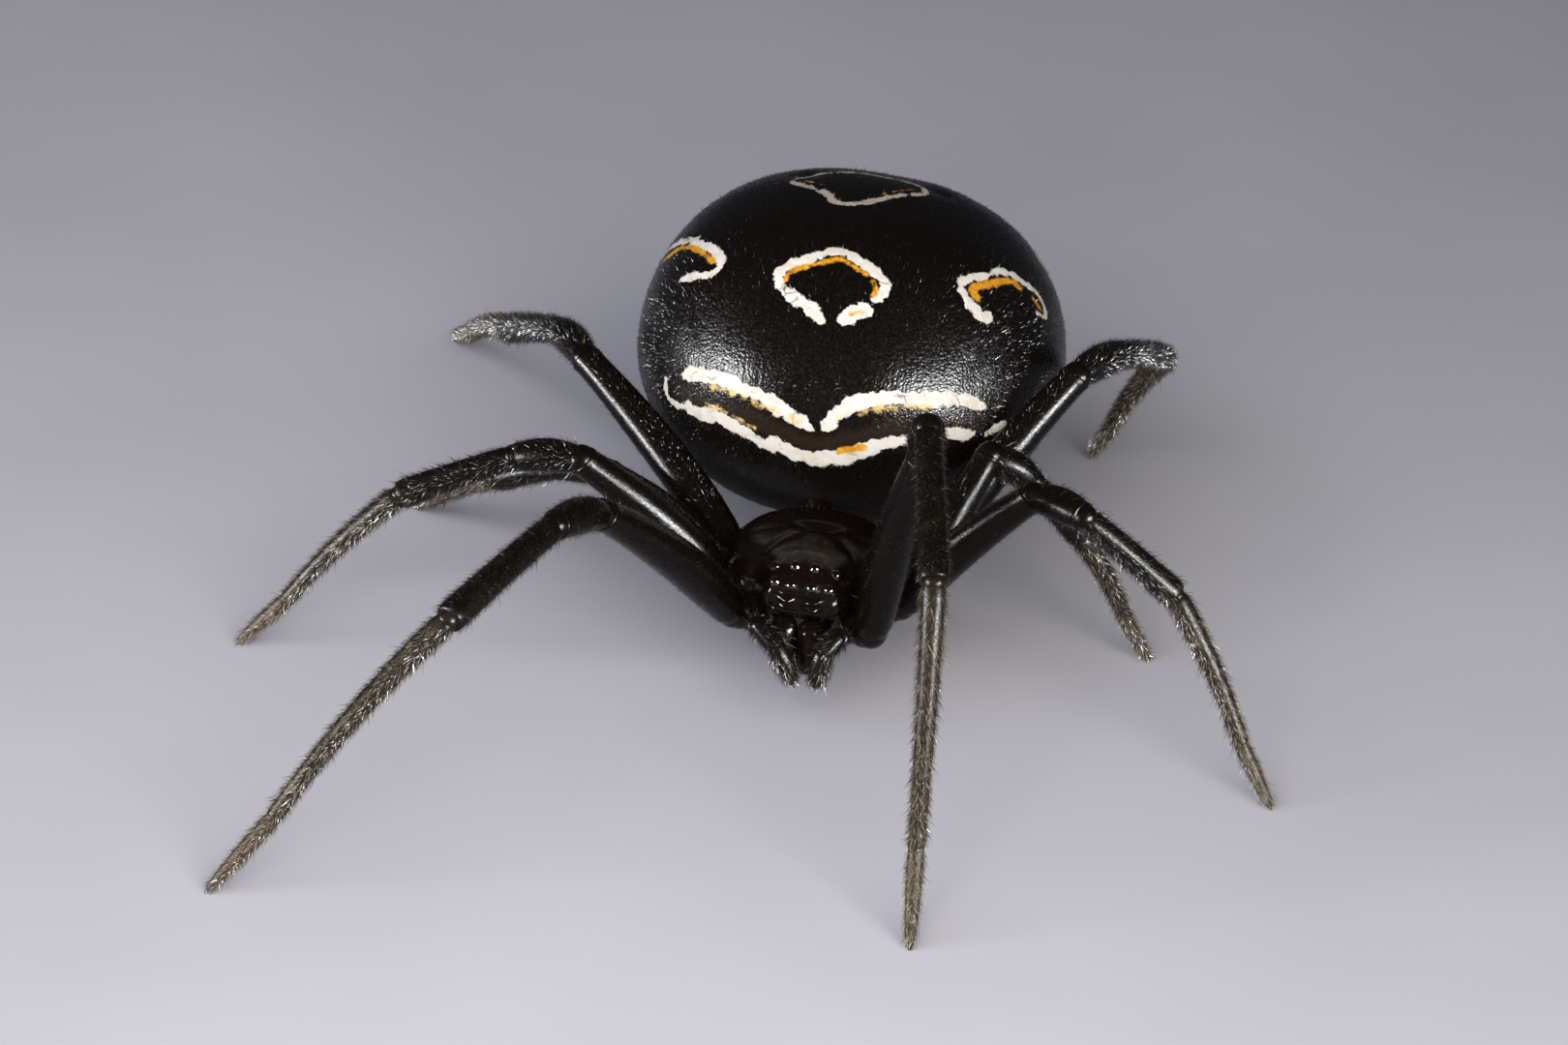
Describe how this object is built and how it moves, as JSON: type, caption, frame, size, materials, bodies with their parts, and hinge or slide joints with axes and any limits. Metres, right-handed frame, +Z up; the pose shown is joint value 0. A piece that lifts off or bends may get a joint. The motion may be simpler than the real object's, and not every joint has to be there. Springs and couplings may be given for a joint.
{
  "type": "black widow spider",
  "caption": "Life-size still model of a female widow spider standing on its feet, with a globular glossy black abdomen marked in white and orange, and long slender legs.",
  "frame": {"origin": "on the floor, under the centre of the whole model's bounding box", "axes": "+Z up, the head faces -Y, +X is the spider's own left side"},
  "size_m": [0.0216, 0.024, 0.0088],
  "materials": {
    "abdomen": "glossy black cuticle with short fine hairs, with white bands edged in orange",
    "carapace": "glossy brown-black cuticle, smooth, with sparse hairs",
    "leg": "satin black cuticle with fine short hairs",
    "foot": "dull grey-brown cuticle under dense short hairs",
    "eye": "dark, wet-looking polished lens"
  },
  "bodies": {
    "root": {"abdomen": "abdomen", "cephalothorax": "carapace", "spinnerets": "carapace", "chelicera_left": "carapace", "palp_left": "leg", "chelicera_right": "carapace", "palp_right": "leg", "eye_front_middle_left": "eye", "eye_front_middle_right": "eye", "eye_front_side_left": "eye", "eye_front_side_right": "eye", "eye_rear_middle_left": "eye", "eye_rear_middle_right": "eye", "eye_rear_side_left": "eye", "eye_rear_side_right": "eye", "leg_1_left_femur": "leg", "leg_1_left_patella": "leg", "leg_1_left_tibia": "leg", "leg_1_left_metatarsus": "foot", "leg_1_left_tarsus": "foot", "leg_1_right_femur": "leg", "leg_1_right_patella": "leg", "leg_1_right_tibia": "leg", "leg_1_right_metatarsus": "foot", "leg_1_right_tarsus": "foot", "leg_2_left_femur": "leg", "leg_2_left_patella": "leg", "leg_2_left_tibia": "leg", "leg_2_left_metatarsus": "foot", "leg_2_left_tarsus": "foot", "leg_2_right_femur": "leg", "leg_2_right_patella": "leg", "leg_2_right_tibia": "leg", "leg_2_right_metatarsus": "foot", "leg_2_right_tarsus": "foot", "leg_3_left_femur": "leg", "leg_3_left_patella": "leg", "leg_3_left_tibia": "leg", "leg_3_left_metatarsus": "foot", "leg_3_left_tarsus": "foot", "leg_3_right_femur": "leg", "leg_3_right_patella": "leg", "leg_3_right_tibia": "leg", "leg_3_right_metatarsus": "foot", "leg_3_right_tarsus": "foot", "leg_4_left_femur": "leg", "leg_4_left_patella": "leg", "leg_4_left_tibia": "leg", "leg_4_left_metatarsus": "foot", "leg_4_left_tarsus": "foot", "leg_4_right_femur": "leg", "leg_4_right_patella": "leg", "leg_4_right_tibia": "leg", "leg_4_right_metatarsus": "foot", "leg_4_right_tarsus": "foot"}
  },
  "joints": []
}
